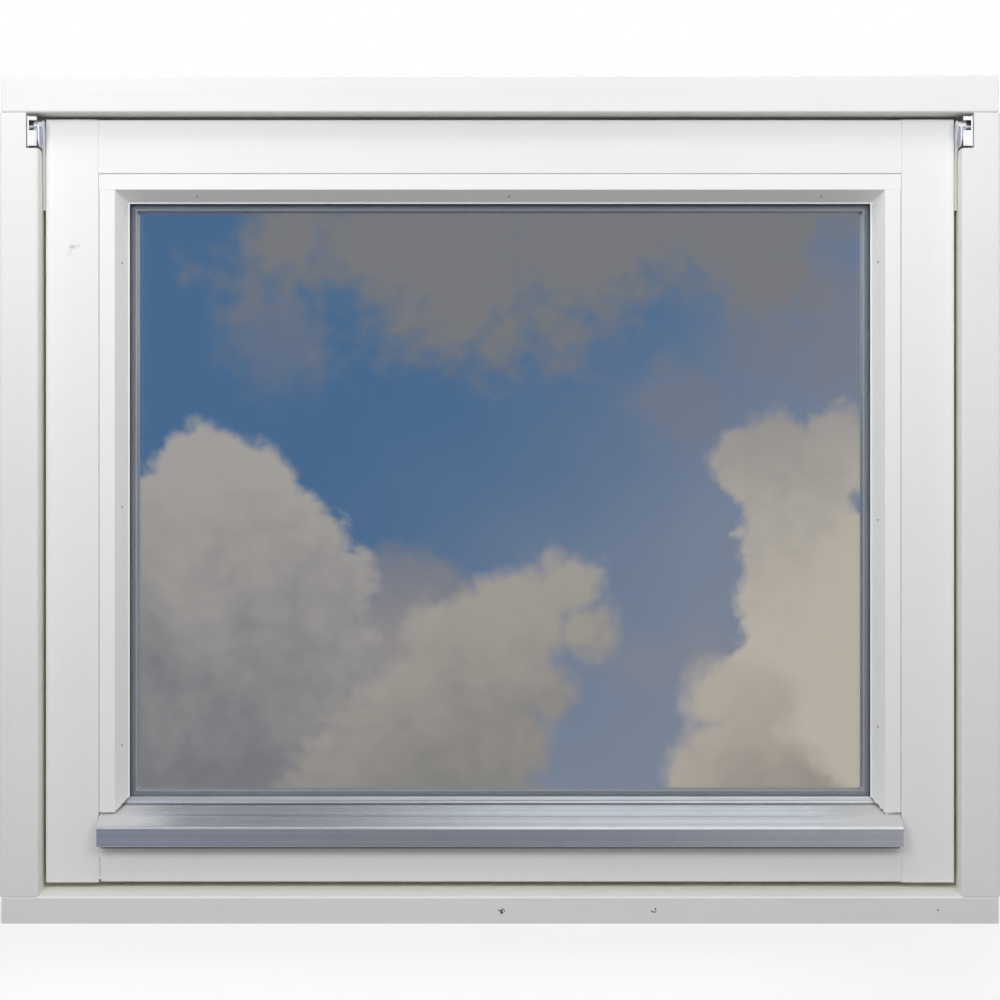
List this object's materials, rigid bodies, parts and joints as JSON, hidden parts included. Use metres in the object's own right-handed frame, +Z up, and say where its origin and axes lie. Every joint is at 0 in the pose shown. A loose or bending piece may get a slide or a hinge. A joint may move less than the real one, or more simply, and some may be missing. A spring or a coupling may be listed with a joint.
{
  "type": "top-hung window",
  "caption": "Painted timber top-hung window with an outward-opening sash, sealed double glazing, timber glazing beads and an aluminium drip bead.",
  "frame": {"origin": "centre of the sill's underside", "axes": "+X along the width (left to right seen from outside), +Y from the weather side to the room, +Z up"},
  "size_m": [0.99, 0.118, 0.84],
  "materials": {
    "frame_paint": "opaque white paint, brushed, satin",
    "sash_paint": "opaque white paint, brushed, satin",
    "bead_paint": "opaque white paint, brushed, satin",
    "glass": "clear float glass",
    "spacer": "satin mill finish",
    "edge_sealant": "matt black sealant",
    "glazing_tape": "matt foam tape",
    "setting_block": "matt",
    "drip_aluminium": "drawn mill finish, weathered",
    "weather_seal": "matt soft seal",
    "hinge_zinc": "zinc plated steel",
    "handle_metal": "white powder coat"
  },
  "bodies": {
    "root": {"frame_head": "frame_paint", "frame_sill": "frame_paint", "frame_jamb_left": "frame_paint", "frame_jamb_right": "frame_paint", "sash_top_rail": "sash_paint", "sash_bottom_rail": "sash_paint", "sash_stile_left": "sash_paint", "sash_stile_right": "sash_paint", "glazing_bead_top": "bead_paint", "glazing_bead_left": "bead_paint", "glazing_bead_right": "bead_paint", "drip_bead": "drip_aluminium", "glass_outer_pane": "glass", "glass_inner_pane": "glass", "spacer_bar": "spacer", "edge_seal": "edge_sealant", "setting_blocks": "setting_block", "seal_head": "weather_seal", "seal_sill": "weather_seal", "seal_jamb_left": "weather_seal", "seal_jamb_right": "weather_seal", "hinge_bracket_left": "hinge_zinc", "hinge_bracket_right": "hinge_zinc", "hinge_pin_left": "hinge_zinc", "hinge_pin_right": "hinge_zinc", "hinge_leaf_left": "hinge_zinc", "hinge_leaf_right": "hinge_zinc", "handle_rose": "handle_metal", "handle_lever": "handle_metal", "glazing_tape_outer_top": "glazing_tape", "glazing_tape_outer_bottom": "glazing_tape", "glazing_tape_outer_left": "glazing_tape", "glazing_tape_outer_right": "glazing_tape", "glazing_tape_inner_top": "glazing_tape", "glazing_tape_inner_bottom": "glazing_tape", "glazing_tape_inner_left": "glazing_tape", "glazing_tape_inner_right": "glazing_tape"}
  },
  "joints": []
}
